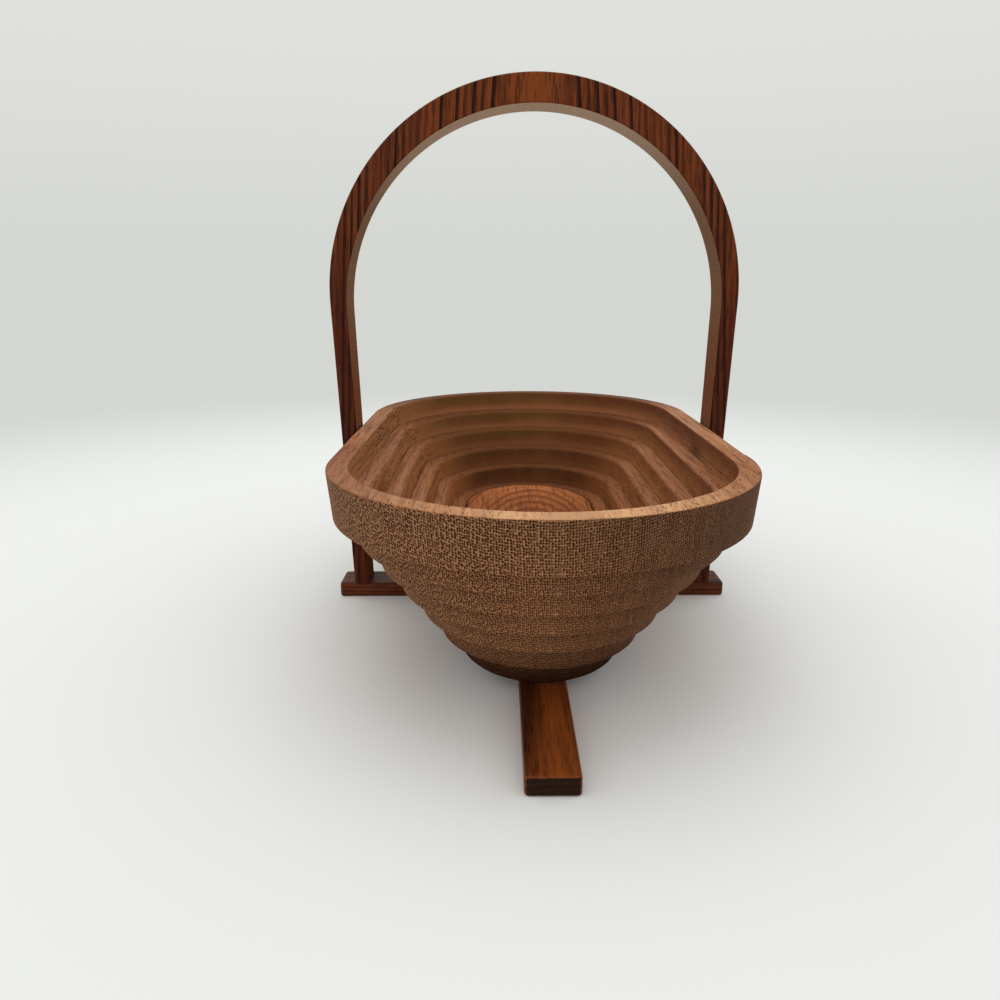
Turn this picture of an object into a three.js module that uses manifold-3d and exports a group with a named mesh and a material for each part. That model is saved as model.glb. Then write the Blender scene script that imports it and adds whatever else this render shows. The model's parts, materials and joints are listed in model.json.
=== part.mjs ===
// A collapsible basket sawn from one board. A blade tilted a few degrees runs
// round and round the board, and each turn drops inside the turn outside it
// until the narrowing gap stops it. The last cut ends at the back, so the floor
// hangs there from the last turn and dips at the front, down to the foot. The
// board hangs on two dowels between the legs of a sawn arch, which stands on a
// cross foot with a bar running forward.
//
// Millimetres, +Z up. The arch stands in the plane y = 0, the bowl reaches
// further forward (-Y) than back, and the floor is z = 0.

import * as THREE from 'three';
import { mergeVertices } from 'three/addons/utils/BufferGeometryUtils.js';
import Module from 'manifold-3d';

// The board: plan outline, thickness and cuts.
const boardHalfWidth = 80.4;
const boardSideLength = 120;
const boardEndDepth = 85;
const boardSetForward = 20;
const boardThickness = 18;
const rimTopHeight = 83.3;
const rimWall = 8.2;
const turnWall = 6.3;
const sawKerf = 1.3;
const turnCount = 5;
const rimOuterRound = 1.1;
const turnOuterRound = 0.4;
const innerEdgeRound = 2;
const restGap = 0.3;
const wedgeGap = 0.3;

// The arched handle, which clears the rim by a gap on each side.
const archHeight = 233.3;
const archDepth = 19;
const archWallAtCrown = 12.3;
const archWallAtLegs = 7.8;
const rimSideGap = 0.93;
const legLeanOutside = 2.2;
const legLeanInside = 1.72;
const archEdgeRound = 0.9;

// The two foot bars, half lapped where they cross.
const footThickness = 6.8;
const crossFootLength = 186.4;
const crossFootWidth = 18;
const frontFootWidth = 17.4;
const frontFootReach = 173.5;
const footEdgeRound = 0.9;
const footCornerRadius = 1.6;
const lapGap = 0.15;

// The dowels that carry the rim.
const dowelDiameter = 6;
const dowelClearance = 0.3;
const dowelDepthInRim = 5.6;

// How finely curves are cut into facets.
const endSteps = 30;
const archSteps = 56;
const roundSteps = 2;
const dowelSides = 20;

const wasm = await Module();
wasm.setup();

const DEG = Math.PI / 180;

// Each turn falls by the same amount, so that the floor of the bowl lands on the feet.
const cutCount = turnCount + 1;
const fallInAll = rimTopHeight - boardThickness - footThickness - restGap;
const dropPerTurn = fallInAll / cutCount;
const faceSlope = (sawKerf - wedgeGap) / dropPerTurn;
const pivotHeight = rimTopHeight - boardThickness / 2;

// The inner curve is as wide as lets its leaning leg pass the rim at the pivot, and the outer
// curve is one wall wider. Both are half circles that touch their own heights at the crown.
const insideTilt = legLeanInside * DEG;
const insideCrown = archHeight - archWallAtCrown;
const widthAtPivot = boardHalfWidth + rimSideGap + (insideCrown - pivotHeight) * Math.tan(insideTilt);
const innerRadius = widthAtPivot / (Math.tan(insideTilt) + 1 / Math.cos(insideTilt));
const innerCentreHeight = insideCrown - innerRadius;
const archRadius = innerRadius + archWallAtLegs;
const archCentreHeight = archHeight - archRadius;

// Plan outline of the board, moved inward by an inset: straight sides and half-elliptical ends.
function boardOutline(inset) {
  const points = [];
  for (const end of [1, -1]) {
    for (let i = 0; i <= endSteps; i += 1) {
      const angle = (Math.PI * i) / endSteps;
      const along = Math.cos(angle) * boardHalfWidth;
      const out = Math.sin(angle) * boardEndDepth;
      const normal = new THREE.Vector2(Math.cos(angle) / boardHalfWidth, Math.sin(angle) / boardEndDepth);
      normal.normalize();
      const x = along - normal.x * inset;
      const y = boardSideLength / 2 + out - normal.y * inset;
      points.push(new THREE.Vector2(end * x, end * y - boardSetForward));
    }
  }
  return points;
}

// One face of a turn as [inset, height] pairs: an eased upper edge, then down the leaning face.
// The edge bites inward from an outer face (side 1) and outward from an inner one (side -1).
function turnFace(startInset, edgeRound, side) {
  const lean = (height) => (boardThickness - height) * faceSlope;
  const points = [];
  for (let i = 0; i <= roundSteps; i += 1) {
    const angle = (Math.PI / 2) * (i / roundSteps);
    const height = boardThickness - edgeRound * (1 - Math.cos(angle));
    const bite = edgeRound * (1 - Math.sin(angle));
    points.push([startInset + side * bite + lean(height), height]);
  }
  return [...points, [startInset + lean(0), 0]];
}

// Joins rows of equally many points into a skin. A closed skin runs from the last row to the first.
function skinRows(rows, closed, caps) {
  const vertices = [];
  const faces = [];
  const count = rows[0].length;
  for (const row of rows) {
    for (const p of row) vertices.push(p.x, p.y, p.z);
  }
  const spans = closed ? rows.length : rows.length - 1;
  for (let r = 0; r < spans; r += 1) {
    const here = r * count;
    const next = ((r + 1) % rows.length) * count;
    for (let i = 0; i < count; i += 1) {
      const j = (i + 1) % count;
      faces.push(here + i, next + i, next + j, here + i, next + j, here + j);
    }
  }
  if (caps) {
    for (const [row, flip] of [[0, false], [rows.length - 1, true]]) {
      const centre = new THREE.Vector3();
      for (const p of rows[row]) centre.addScaledVector(p, 1 / count);
      const hub = vertices.length / 3;
      vertices.push(centre.x, centre.y, centre.z);
      for (let i = 0; i < count; i += 1) {
        const a = row * count + i;
        const b = row * count + ((i + 1) % count);
        if (flip) faces.push(hub, b, a);
        else faces.push(hub, a, b);
      }
    }
  }
  const geometry = new THREE.BufferGeometry();
  geometry.setAttribute('position', new THREE.Float32BufferAttribute(vertices, 3));
  geometry.setIndex(faces);
  return geometry;
}

function rowAt([inset, height]) {
  return boardOutline(inset).map((p) => new THREE.Vector3(p.x, p.y, height));
}

// A turn is its section carried round the board's outline.
function turnGeometry(startInset, wall, outerRound) {
  const outer = turnFace(startInset, outerRound, 1);
  const inner = turnFace(startInset + wall, innerEdgeRound, -1);
  return skinRows([...outer, ...inner.reverse()].map(rowAt), true, false);
}

function floorGeometry(startInset) {
  return skinRows(turnFace(startInset, turnOuterRound, 1).map(rowAt), false, true);
}

function toSolid(geometry) {
  const bare = geometry.clone();
  for (const name of Object.keys(bare.attributes)) {
    if (name !== 'position') bare.deleteAttribute(name);
  }
  const merged = mergeVertices(bare, 1e-4);
  const mesh = new wasm.Mesh({
    numProp: 3,
    vertProperties: new Float32Array(merged.attributes.position.array),
    triVerts: new Uint32Array(merged.index.array),
  });
  return new wasm.Manifold(mesh);
}

function toGeometry(solid) {
  const mesh = solid.getMesh();
  const geometry = new THREE.BufferGeometry();
  geometry.setAttribute('position', new THREE.Float32BufferAttribute(mesh.vertProperties, 3));
  geometry.setIndex([...mesh.triVerts]);
  return geometry;
}

function boxSolid(x0, x1, y0, y1, z0, z1) {
  const box = new THREE.BoxGeometry(x1 - x0, y1 - y0, z1 - z0);
  box.translate((x0 + x1) / 2, (y0 + y1) / 2, (z0 + z1) / 2);
  return toSolid(box);
}

// A round bar along X at the height of the pivots.
function pivotBar(diameter, x0, x1) {
  const bar = new THREE.CylinderGeometry(diameter / 2, diameter / 2, x1 - x0, dowelSides);
  bar.rotateZ(Math.PI / 2);
  bar.translate((x0 + x1) / 2, 0, pivotHeight);
  return bar;
}

// One side of the arch's face: a half circle and a straight leg that leans in below it.
function archSide(radius, centreHeight, lean) {
  const points = [];
  const tilt = lean * DEG;
  const endX = radius * Math.cos(tilt);
  const endZ = centreHeight - radius * Math.sin(tilt);
  const footX = endX - Math.tan(tilt) * endZ;
  points.push(new THREE.Vector2(footX, 0));
  for (let i = 0; i <= archSteps; i += 1) {
    const angle = -tilt + ((Math.PI + 2 * tilt) * i) / archSteps;
    points.push(new THREE.Vector2(radius * Math.cos(angle), centreHeight + radius * Math.sin(angle)));
  }
  points.push(new THREE.Vector2(-footX, 0));
  return points;
}

function archGeometry() {
  const outside = archSide(archRadius, archCentreHeight, legLeanOutside);
  const inside = archSide(innerRadius, innerCentreHeight, legLeanInside).reverse();
  const face = new THREE.Shape([...outside, ...inside]);
  const blank = new THREE.ExtrudeGeometry(face, {
    depth: archDepth - 2 * archEdgeRound,
    bevelThickness: archEdgeRound,
    bevelSize: archEdgeRound,
    bevelOffset: -archEdgeRound,
    bevelSegments: roundSteps,
    curveSegments: 1,
  });
  blank.rotateX(Math.PI / 2);
  blank.translate(0, archDepth / 2 - archEdgeRound, 0);
  const reach = archRadius + 10;
  const belowFoot = boxSolid(-reach, reach, -archDepth, archDepth, -5, footThickness);
  const hole = toSolid(pivotBar(dowelDiameter + 2 * dowelClearance, -reach, reach));
  return toGeometry(toSolid(blank).subtract(belowFoot).subtract(hole));
}

// A flat bar with rounded corners and eased edges, lying on the floor.
function barGeometry(x0, x1, y0, y1) {
  const r = footCornerRadius;
  const plan = new THREE.Shape();
  plan.moveTo(x0 + r, y0);
  plan.lineTo(x1 - r, y0);
  plan.absarc(x1 - r, y0 + r, r, -Math.PI / 2, 0, false);
  plan.lineTo(x1, y1 - r);
  plan.absarc(x1 - r, y1 - r, r, 0, Math.PI / 2, false);
  plan.lineTo(x0 + r, y1);
  plan.absarc(x0 + r, y1 - r, r, Math.PI / 2, Math.PI, false);
  plan.lineTo(x0, y0 + r);
  plan.absarc(x0 + r, y0 + r, r, Math.PI, 1.5 * Math.PI, false);
  const bar = new THREE.ExtrudeGeometry(plan, {
    depth: footThickness - 2 * footEdgeRound,
    bevelThickness: footEdgeRound,
    bevelSize: footEdgeRound,
    bevelOffset: -footEdgeRound,
    bevelSegments: roundSteps,
    curveSegments: 3,
  });
  bar.translate(0, 0, footEdgeRound);
  return bar;
}

// The cross foot keeps its upper half over the lap, and the front bar its lower half.
const lapHeight = footThickness / 2;

function crossFootGeometry() {
  const halfLength = crossFootLength / 2;
  const halfWidth = crossFootWidth / 2;
  const bar = barGeometry(-halfLength, halfLength, -halfWidth, halfWidth);
  const notchHalf = frontFootWidth / 2 + lapGap;
  const notch = boxSolid(-notchHalf, notchHalf, -crossFootWidth, crossFootWidth, -1, lapHeight);
  return toGeometry(toSolid(bar).subtract(notch));
}

function frontFootGeometry() {
  const halfWidth = frontFootWidth / 2;
  const bar = barGeometry(-halfWidth, halfWidth, -frontFootReach, crossFootWidth / 2);
  const shoulder = -crossFootWidth / 2 - lapGap;
  const step = boxSolid(-crossFootWidth, crossFootWidth, shoulder, crossFootWidth, lapHeight, footThickness + 1);
  return toGeometry(toSolid(bar).subtract(step));
}

// Where the dowels start in the rim and where they end, flush with the leaning leg.
const rimFaceAtPivot = boardHalfWidth - (boardThickness / 2) * faceSlope;
const dowelInnerEnd = rimFaceAtPivot - dowelDepthInRim;
const legTilt = legLeanOutside * DEG;
const legTangentX = archRadius * Math.cos(legTilt);
const legTangentZ = archCentreHeight - archRadius * Math.sin(legTilt);
const dowelOuterEnd = legTangentX - Math.tan(legTilt) * (legTangentZ - pivotHeight);

function rimGeometry() {
  const hole = dowelDiameter + 2 * dowelClearance;
  const right = pivotBar(hole, dowelInnerEnd - dowelClearance, boardHalfWidth + 5);
  const left = pivotBar(hole, -boardHalfWidth - 5, -dowelInnerEnd + dowelClearance);
  const ring = turnGeometry(0, rimWall, rimOuterRound);
  ring.translate(0, 0, rimTopHeight - boardThickness);
  return toGeometry(toSolid(ring).subtract(toSolid(right)).subtract(toSolid(left)));
}

const basket = new THREE.Group();

function addPiece(name, geometry, colour, roughness) {
  const material = new THREE.MeshStandardMaterial({ color: colour, roughness, metalness: 0 });
  const mesh = new THREE.Mesh(geometry, material);
  mesh.name = name;
  basket.add(mesh);
  return mesh;
}

const varnishedDark = 0x5e2d17;
const sawnTan = 0x8a5f42;
const innerBrown = 0x7d4d31;
const floorOrange = 0x9a5730;

addPiece('handle_arch', archGeometry(), varnishedDark, 0.45);
addPiece('cross_foot', crossFootGeometry(), varnishedDark, 0.45);
addPiece('front_foot', frontFootGeometry(), varnishedDark, 0.45);
addPiece('pivot_dowel_right', pivotBar(dowelDiameter, dowelInnerEnd, dowelOuterEnd), sawnTan, 0.6);
addPiece('pivot_dowel_left', pivotBar(dowelDiameter, -dowelOuterEnd, -dowelInnerEnd), sawnTan, 0.6);
addPiece('rim', rimGeometry(), sawnTan, 0.65);

// Below the rim each turn starts one wall and one saw cut further in, and one drop lower.
const rimBottom = rimTopHeight - boardThickness;
const firstInset = rimWall + sawKerf;
const turnPitch = turnWall + sawKerf;
for (let turn = 1; turn <= turnCount; turn += 1) {
  const inset = firstInset + (turn - 1) * turnPitch;
  const geometry = turnGeometry(inset, turnWall, turnOuterRound);
  const piece = addPiece(`turn_${turn}`, geometry, innerBrown, 0.65);
  piece.position.z = rimBottom - turn * dropPerTurn;
}

// The floor is level with the last turn at its back edge, where it hangs, and a full drop
// lower at its front edge.
const floorInset = firstInset + turnCount * turnPitch;
const floorHalfLength = boardSideLength / 2 + boardEndDepth - floorInset;
const hingeY = floorHalfLength - boardSetForward;
const hingeZ = rimTopHeight - turnCount * dropPerTurn;
const floorGeometryAtHinge = floorGeometry(floorInset);
floorGeometryAtHinge.translate(0, -hingeY, -boardThickness);
const floor = addPiece('bottom_board', floorGeometryAtHinge, floorOrange, 0.55);
floor.position.set(0, hingeY, hingeZ);
floor.rotation.x = Math.asin(dropPerTurn / (2 * floorHalfLength));

export default basket;
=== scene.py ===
# %% [markdown]
# # A collapsible basket sawn from one board
#
# The real basket is one flat board. A tilted saw cut runs round and round it,
# so that each turn drops inside the turn outside it and wedges there. The board
# hangs between the legs of a sawn wooden arch on a T-shaped foot.
#
# This lesson dresses the solid model of that basket. Its places and sizes come
# from the frame, and everything seen here is rebuilt with finer surfaces and
# with wood that runs through each piece as it does through a real board.

# %% Load the frame
import json
import math
from types import SimpleNamespace

import bpy
import numpy as np
from mathutils import Matrix, Vector


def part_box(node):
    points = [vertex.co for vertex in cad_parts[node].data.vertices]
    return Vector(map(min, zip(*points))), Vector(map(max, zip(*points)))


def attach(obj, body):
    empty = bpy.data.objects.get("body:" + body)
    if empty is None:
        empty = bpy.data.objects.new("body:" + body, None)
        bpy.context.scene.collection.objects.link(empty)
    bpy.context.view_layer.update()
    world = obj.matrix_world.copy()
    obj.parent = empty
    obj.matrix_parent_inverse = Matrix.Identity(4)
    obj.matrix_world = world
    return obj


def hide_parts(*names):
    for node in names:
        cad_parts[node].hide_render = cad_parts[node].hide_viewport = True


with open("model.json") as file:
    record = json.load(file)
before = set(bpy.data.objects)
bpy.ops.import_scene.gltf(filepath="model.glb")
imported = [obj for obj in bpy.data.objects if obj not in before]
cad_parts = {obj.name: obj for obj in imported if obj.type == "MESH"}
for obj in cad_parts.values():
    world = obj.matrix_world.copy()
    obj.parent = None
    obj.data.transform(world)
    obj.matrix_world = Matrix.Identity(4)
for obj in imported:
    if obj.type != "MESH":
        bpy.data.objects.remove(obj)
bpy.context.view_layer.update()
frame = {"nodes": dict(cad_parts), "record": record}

# %% [markdown]
# ## Sizes read off the frame
#
# A number that the solid model already holds is measured from it. Only what the
# boxes can't tell, such as the length of the board's straight side or the tilt
# of a leg, is written here again, with its unit.

# %% Sizes
MM = 0.001


def corner(node, high, axis):
    """One coordinate of a node's box: its high or low corner along axis 0, 1 or 2."""
    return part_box(node)[1 if high else 0][axis]


board_half_width = corner("rim", True, 0)
board_length = corner("rim", True, 1) - corner("rim", False, 1)
board_centre_y = (corner("rim", True, 1) + corner("rim", False, 1)) / 2
board_thickness = corner("rim", True, 2) - corner("rim", False, 2)
straight_side = 120 * MM
end_depth = (board_length - straight_side) / 2
rim_bottom = corner("rim", False, 2)
drop_per_turn = rim_bottom - corner("turn_1", False, 2)

rim_wall = 8.2 * MM
turn_wall = 6.3 * MM
saw_kerf = 1.3 * MM
wedge_gap = 0.3 * MM
rim_outer_round = 1.1 * MM
rim_inner_round = 0.8 * MM
turn_inner_round = 2.0 * MM
sawn_edge_round = 0.15 * MM
face_slope = (saw_kerf - wedge_gap) / drop_per_turn
print("board", round(board_length, 4), "long, turns drop", round(drop_per_turn, 5))

# %% [markdown]
# ## The camera
#
# The photograph was taken from close by and a little above the rim. A pin-hole
# camera was fitted to the ends of the feet, the arch and the rim, and its place,
# tilt and focal length are written down as it came out.

# %% Camera
camera_place = Vector((-16.0, -389.7, 147.4)) * MM
camera_tilt_down = 0.2545
camera_turn = -0.0016
camera_roll = -0.0021
focal_length_pixels = 831.1
picture_width_pixels = 1000

camera_data = bpy.data.cameras.new("camera")
camera_data.sensor_width = 36
camera_data.lens = camera_data.sensor_width * focal_length_pixels / picture_width_pixels
camera_data.clip_start = 10 * MM
camera = bpy.data.objects.new("camera", camera_data)
camera.matrix_world = (
    Matrix.Translation(camera_place)
    @ Matrix.Rotation(camera_turn, 4, "Z")
    @ Matrix.Rotation(math.pi / 2 - camera_tilt_down, 4, "X")
    @ Matrix.Rotation(camera_roll, 4, "Z")
)
bpy.context.scene.collection.objects.link(camera)
bpy.context.scene.camera = camera
print("lens", round(camera_data.lens, 2), "mm")

# %% [markdown]
# ## Building shader trees in few words
#
# A shader is a graph of nodes. Here the output of a node is wrapped as a Value,
# and a sum written with values, such as 1 - a * b, adds the Math nodes that work
# it out. A recipe can then be read from top to bottom like a formula. Colours are
# written as on the web, such as a06a45.

# %% Shader helpers


class Value:
    """One output of a shader node, which adds, subtracts, multiplies and divides as a number does."""

    def __init__(self, socket):
        self.socket, self.tree = socket, socket.id_data

    def __add__(self, other):
        return calculate("ADD", self, other)

    def __sub__(self, other):
        return calculate("SUBTRACT", self, other)

    def __rsub__(self, other):
        return calculate("SUBTRACT", other, self)

    def __mul__(self, other):
        return calculate("MULTIPLY", self, other)

    def __truediv__(self, other):
        return calculate("DIVIDE", self, other)

    def __rtruediv__(self, other):
        return calculate("DIVIDE", other, self)


def srgb(code):
    """A colour's code in the linear numbers that a shader wants."""
    parts = [int(code[i : i + 2], 16) / 255 for i in (0, 2, 4)]
    return [p / 12.92 if p <= 0.04045 else ((p + 0.055) / 1.055) ** 2.4 for p in parts] + [1.0]


def plug(socket, value):
    """Links an input to a Value, or sets it to a number, a vector or a colour's code."""
    if isinstance(value, Value):
        value.tree.links.new(value.socket, socket)
    else:
        socket.default_value = srgb(value) if isinstance(value, str) else value


def add_node(tree, kind, inputs=None, **settings):
    """A node of that kind with its settings, and with its inputs plugged by name or number."""
    node = tree.nodes.new(kind)
    for name, value in settings.items():
        setattr(node, name, value)
    for name, value in (inputs or {}).items():
        plug(node.inputs[name], value)
    return node


def value_of(tree, kind, inputs=None, output=0, **settings):
    """One output of a new node."""
    return Value(add_node(tree, kind, inputs, **settings).outputs[output])


def outputs_of(node):
    """All the outputs of a node, by name."""
    return {socket.name: Value(socket) for socket in node.outputs}


def calculate(operation, *values, kind="ShaderNodeMath", output=0):
    """One Math node: the operation on the values, which are numbers or Values."""
    tree = next(value.tree for value in values if isinstance(value, Value))
    return value_of(tree, kind, dict(enumerate(values)), output, operation=operation)


def calculate_vector(operation, *values, output=0):
    """One Vector Math node, which works in the same way on vectors."""
    return calculate(operation, *values, kind="ShaderNodeVectorMath", output=output)


def larger(first, second):
    """The larger of two values."""
    return calculate("MAXIMUM", first, second)


def hypotenuse(first, second):
    """The square root of the sum of the two squares."""
    return calculate("SQRT", first * first + second * second)


def split(vector):
    """The three numbers in a vector."""
    return [Value(socket) for socket in add_node(vector.tree, "ShaderNodeSeparateXYZ", {0: vector}).outputs]


def join(x, y, z=0.0):
    """A vector of three numbers."""
    return value_of(x.tree, "ShaderNodeCombineXYZ", {0: x, 1: y, 2: z})


def remap(value, low, high, to_low=0.0, to_high=1.0, shape="SMOOTHSTEP"):
    """The value, clamped between low and high, carried smoothly to the range from to_low to to_high."""
    inputs = {"Value": value, "From Min": low, "From Max": high, "To Min": to_low, "To Max": to_high}
    return value_of(value.tree, "ShaderNodeMapRange", inputs, interpolation_type=shape)


def fade(value, low, high, most=1.0):
    """From most down to nothing, as the value goes from low to high."""
    return remap(value, low, high, most, 0.0)


def noise(place, scale, detail=2.0, roughness=0.5, stretch=(1, 1, 1)):
    """Soft noise from 0 to 1 at a place in metres: scale bumps to the metre, drawn out by stretch."""
    squeezed = calculate_vector("MULTIPLY", place, [1 / s for s in stretch])
    inputs = {"Vector": squeezed, "Scale": scale, "Detail": detail, "Roughness": roughness}
    return value_of(place.tree, "ShaderNodeTexNoise", inputs)


def mix_colours(share, first, second, blend="MIX"):
    """The first colour, turning into the second as share goes from 0 to 1."""
    inputs = {"Factor": share, 6: first, 7: second}
    return value_of(share.tree, "ShaderNodeMix", inputs, 2, data_type="RGBA", blend_type=blend)


def coats(colour, *layers):
    """The colour after each layer, given as (share, colour), is laid over it in turn."""
    for share, coat in layers:
        colour = mix_colours(share, colour, coat)
    return colour


print("white is", srgb("ffffff")[:3])

# %% [markdown]
# ## Growth rings
#
# A board is a slice of a tree, and its figure is where the slice meets the yearly
# rings. So the rings are worked out in space and not painted on: each is a tube
# round the pith, which runs along the grain some way below the board. Its end
# shows arcs, its side shows lines, and its top shows the arches that joiners call
# cathedrals. The place along, across and through the grain comes from each mesh
# as the attribute grain_place. The group puts out how dark a ring line is, and a
# number that is the same all over one ring.

# %% Growth ring group


def new_group(name, inputs, outputs):
    """An empty shader group. Inputs come with their defaults: a number, or None for a vector."""
    tree = bpy.data.node_groups.new(name, "ShaderNodeTree")
    for label, default in inputs.items():
        kind = "NodeSocketVector" if default is None else "NodeSocketFloat"
        socket = tree.interface.new_socket(name=label, in_out="INPUT", socket_type=kind)
        if default is not None:
            socket.default_value = default
    for label in outputs:
        tree.interface.new_socket(name=label, in_out="OUTPUT", socket_type="NodeSocketFloat")
    return tree, outputs_of(tree.nodes.new("NodeGroupInput")), tree.nodes.new("NodeGroupOutput").inputs


def growth_ring_group():
    """Ring number = (distance to pith + taper - dome + wander) / ring width, dark where a ring ends."""
    tree, given, out = new_group(
        "growth_rings",
        {
            "Place": None,
            "Pith Depth": 50 * MM,
            "Pith Side": 0.0,
            "Ring Width": 2 * MM,
            "Taper": 0.0,
            "Dome Height": 0.0,
            "Dome Length": 50 * MM,
            "Dome Breadth": 50 * MM,
            "Wander": 1 * MM,
        },
        ["Line", "Ring Shade"],
    )
    along, across, through = split(given["Place"])
    to_pith = hypotenuse(across - given["Pith Side"], through + given["Pith Depth"])
    share_along, share_across = along / given["Dome Length"], across / given["Dome Breadth"]
    bell = calculate("EXPONENT", (share_along * share_along + share_across * share_across) * -1)
    wander = (noise(given["Place"], 22, 3, 0.5, (4, 1, 1)) - 0.5) * given["Wander"]
    whole = to_pith + along * given["Taper"] - bell * given["Dome Height"] + wander
    number = whole / given["Ring Width"]
    within = calculate("FRACT", number)
    lot = {"W": calculate("FLOOR", number)}
    shade = value_of(tree, "ShaderNodeTexWhiteNoise", lot, noise_dimensions="1D")
    line = remap(within, 0.3, 0.75) * fade(within, 0.93, 1.0)
    plug(out["Line"], line * remap(shade, 0.0, 0.8, 0.25, 1.0))
    plug(out["Ring Shade"], shade)
    return tree


growth_rings = growth_ring_group()
print(growth_rings.name, [s.name for s in growth_rings.interface.items_tree])

# %% [markdown]
# ## Open pores
#
# The wood is coarse and open-pored. A pore is a long thin tube along the grain: it
# shows as a dark dash on a long face and as a dot on a sawn end. Cells of a Voronoi
# pattern, stretched along the grain, give both from one recipe.

# %% Pore group


def pore_group():
    """Dark where the stretched distance to the nearest cell's middle is under a share of its size."""
    tree, given, out = new_group(
        "open_pores", {"Place": None, "Spacing": 1.2 * MM, "Stretch": 9.0, "Fullness": 0.35}, ["Pore"]
    )
    along, across, through = split(given["Place"])
    inputs = {
        "Vector": join(along / given["Stretch"], across, through),
        "Scale": 1 / given["Spacing"],
        "Randomness": 0.85,
    }
    distance = value_of(tree, "ShaderNodeTexVoronoi", inputs, "Distance")
    soft_edge = 0.14
    pore = remap(distance, given["Fullness"], given["Fullness"] + soft_edge, 1.0, 0.0, shape="LINEAR")
    plug(out["Pore"], pore)
    return tree


open_pores = pore_group()
print(open_pores.name, "ready")

# %% [markdown]
# ## Marks of the saw
#
# A saw blade that works up and down leaves fine ridges across its path, like a
# washboard. They follow the cut round the board, so they are measured by the
# piece's own UV map, which counts metres along the cut. Neighbouring ridges are
# never quite alike, so their strength wanders.

# %% Saw mark group


def saw_mark_group():
    """A ridge every Spacing metres along the cut: 0.5 + 0.5 sin(2 pi (distance / spacing + wobble))."""
    tree, given, out = new_group(
        "saw_marks", {"Along Cut": 0.0, "Up Cut": 0.0, "Spacing": 1.5 * MM}, ["Ridge", "Strength"]
    )
    where = join(given["Along Cut"], given["Up Cut"])
    wobble_in_ridges = 1.6
    wobble = noise(where, 180, 2, 0.5, (1, 4, 1)) * wobble_in_ridges
    wave = calculate("SINE", (wobble + given["Along Cut"] / given["Spacing"]) * (2 * math.pi))
    plug(out["Ridge"], wave * 0.5 + 0.5)
    plug(out["Strength"], noise(where, 60, 3, 0.6, (1, 2, 1)))
    return tree


saw_marks = saw_mark_group()
print(saw_marks.name, "ready")

# %% [markdown]
# ## Woven-looking end grain
#
# On the sawn ends the pores are cut straight across. They stand in rows, and the
# saw's ridges cut the rows into columns, so the end looks like coarse cloth: dark
# pits between pale threads. The pits are the middles of Voronoi cells, which lie
# on a square lattice when their randomness is low and scatter when it is high.
# Where they are orderly, a trench also joins the pits of a row.

# %% Woven end grain group


def woven_group():
    """Pits where a cell's middle is near, threads where it is far or a column ends, and a few painted glints.
    """
    tree, given, out = new_group(
        "woven_end_grain",
        {
            "Along Cut": 0.0,
            "Up Cut": 0.0,
            "Column Spacing": 1.5 * MM,
            "Row Spacing": 1.4 * MM,
            "Disorder": 0.4,
        },
        ["Pit", "Thread", "Glint"],
    )
    where = join(given["Along Cut"], given["Up Cut"])
    bend = noise(where, 70, 3, 0.6, (1, 2, 1)) - 0.5
    column_bend, row_bend = 3.4, 2.4
    column = bend * column_bend + given["Along Cut"] / given["Column Spacing"]
    row = bend * row_bend + given["Up Cut"] / given["Row Spacing"]
    lattice = {"Vector": join(column, row), "Scale": 1.0, "Randomness": given["Disorder"]}
    cells = outputs_of(add_node(tree, "ShaderNodeTexVoronoi", lattice, voronoi_dimensions="2D"))
    off_column, off_row = (calculate("ABSOLUTE", calculate("FRACT", v) - 0.5) for v in (column, row))
    depth_lot, glint_lot, _ = split(cells["Color"])

    broken = remap(noise(where, 320, 2, 0.5, (1, 6, 1)), 0.35, 0.65)
    strand = remap(off_column, 0.28, 0.5) * broken * remap(given["Disorder"], 0.15, 0.3, 0.4, 1.0)
    trench = fade(off_row, 0.02, 0.4) * (1 - strand) * remap(given["Disorder"], 0.2, 0.55, 1.0, 0.3)
    grit = noise(where, 2600, 2, 0.6) - 0.5
    rough_distance = grit * 0.5 + cells["Distance"]
    pit = fade(rough_distance, 0.14, 0.45) * remap(depth_lot, 0.0, 0.8, 0.55, 1.0)
    plug(out["Pit"], larger(pit, trench))
    plug(out["Thread"], larger(remap(rough_distance, 0.32, 0.6) * 0.8, strand))
    # The glints are a painted highlight: a few cells shine pale, as if catching light.
    glint_from = 0.994
    chosen = calculate("GREATER_THAN", glint_lot, glint_from)
    plug(out["Glint"], fade(cells["Distance"], 0.04, 0.2, 0.8) * chosen)
    return tree


woven_end_grain = woven_group()
print(woven_end_grain.name, "ready")

# %% [markdown]
# ## Skins from grids
#
# Every piece is one grid of points: rows of closed loops. For a turn of the board
# the rows run round its section and close on themselves. For a bar they run from
# end to end, and the two ends are closed with a fan. The corners of each face
# carry a UV map in metres, and each point carries its place in the board that it
# was cut from.

# %% Mesh from rows of loops
ALONG_X, ALONG_Y, ALONG_Z = [0, 1, 2], [1, 0, 2], [2, 0, 1]
inward_reach = 10 * MM
step_shade_fade = 3 * MM
level_within = 1e-6


def metres_along(path, closed=False):
    """Distance gone at each point of a path, and once more back at the first point if it is closed."""
    stops = np.vstack([path, path[:1]]) if closed else path
    return np.concatenate([[0], np.cumsum(np.linalg.norm(np.diff(stops, axis=0), axis=1))])


def signed_volume(mesh):
    """Sum over triangles of a . (b x c) / 6, which is positive where the faces point outwards."""
    mesh.calc_loop_triangles()
    corners = np.zeros(len(mesh.loop_triangles) * 3, np.int32)
    mesh.loop_triangles.foreach_get("vertices", corners)
    places = np.zeros(len(mesh.vertices) * 3, np.float32)
    mesh.vertices.foreach_get("co", places)
    a, b, c = places.reshape(-1, 3)[corners.reshape(-1, 3)].astype(float).transpose(1, 0, 2)
    return float(np.einsum("ij,ij->", a, np.cross(b, c)) / 6)


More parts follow.
